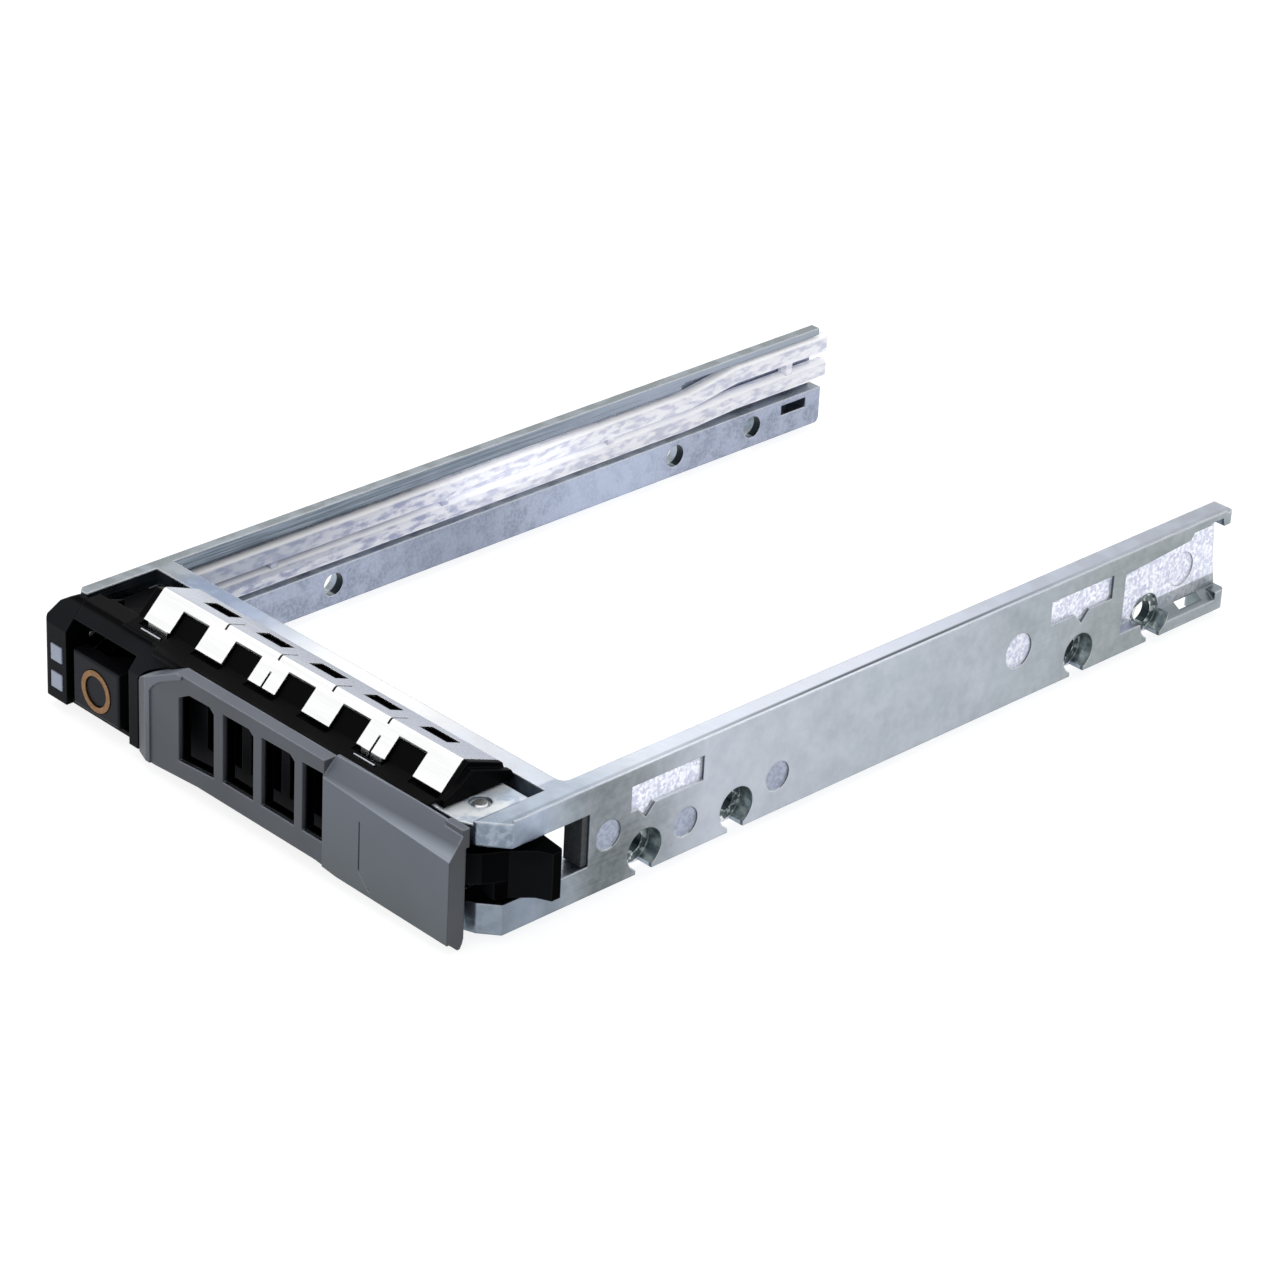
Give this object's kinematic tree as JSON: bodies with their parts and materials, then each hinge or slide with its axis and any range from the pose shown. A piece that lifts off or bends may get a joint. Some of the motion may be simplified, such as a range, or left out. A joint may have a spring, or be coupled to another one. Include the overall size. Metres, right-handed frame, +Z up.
{
  "type": "hot swap drive caddy",
  "caption": "Tray for a 2.5 inch drive with two rails, a cross bar, a moulded front with vents and release button, and a lever handle hinged at one corner.",
  "frame": {"origin": "middle of the cross bar's underside, midway between the rails", "axes": "+X across the front towards the handle's pivot, +Y from the handle towards the open connector end, +Z up from the rails' underside"},
  "size_m": [0.0811, 0.1357, 0.0191],
  "materials": {
    "cast_metal": "satin, as die cast, with brushed outer faces",
    "black_plastic": "fine moulded grain",
    "spring_steel": "bright rolled sheet and wire",
    "clear_plastic": "clear, polished",
    "grey_plastic": "satin moulded",
    "pin_steel": "turned",
    "button_plastic": "satin moulded",
    "copper_ring": "satin, copper coloured",
    "pad_rubber": "matt",
    "screw_steel": "zinc plated"
  },
  "bodies": {
    "tray": {"frame": "cast_metal", "bezel": "black_plastic", "emi_gasket": "spring_steel", "light_pipe": "clear_plastic", "pivot_pin": "pin_steel", "handle_spring": "spring_steel", "catch_spring": "spring_steel", "opening_pad": "pad_rubber", "bezel_screw_1": "screw_steel", "bezel_screw_2": "screw_steel"},
    "handle": {"handle_cover": "grey_plastic", "handle_arm": "black_plastic"},
    "button": {"release_button": "button_plastic", "button_ring": "copper_ring"},
    "catch": {"handle_catch": "black_plastic"}
  },
  "joints": [
    {"name": "handle_turn", "type": "hinge", "parent": "tray", "child": "handle", "pos_m": [0.0318, -0.0083, 0.0085], "axis": [0, 0, 1], "range_deg": [0, 40]},
    {"name": "button_press", "type": "slide", "parent": "tray", "child": "button", "axis": [0, 1, 0], "range_m": [0, 0.0015], "stiffness_N_per_m": 300, "springref_m": -0.001},
    {"name": "catch_slide", "type": "slide", "parent": "tray", "child": "catch", "axis": [-1, 0, 0], "range_m": [0, 0.0012], "deforming": ["catch_spring"]}
  ],
  "couplings": [
    {"joint": "catch_slide", "follows": "button_press", "ratio": 0.8}
  ]
}
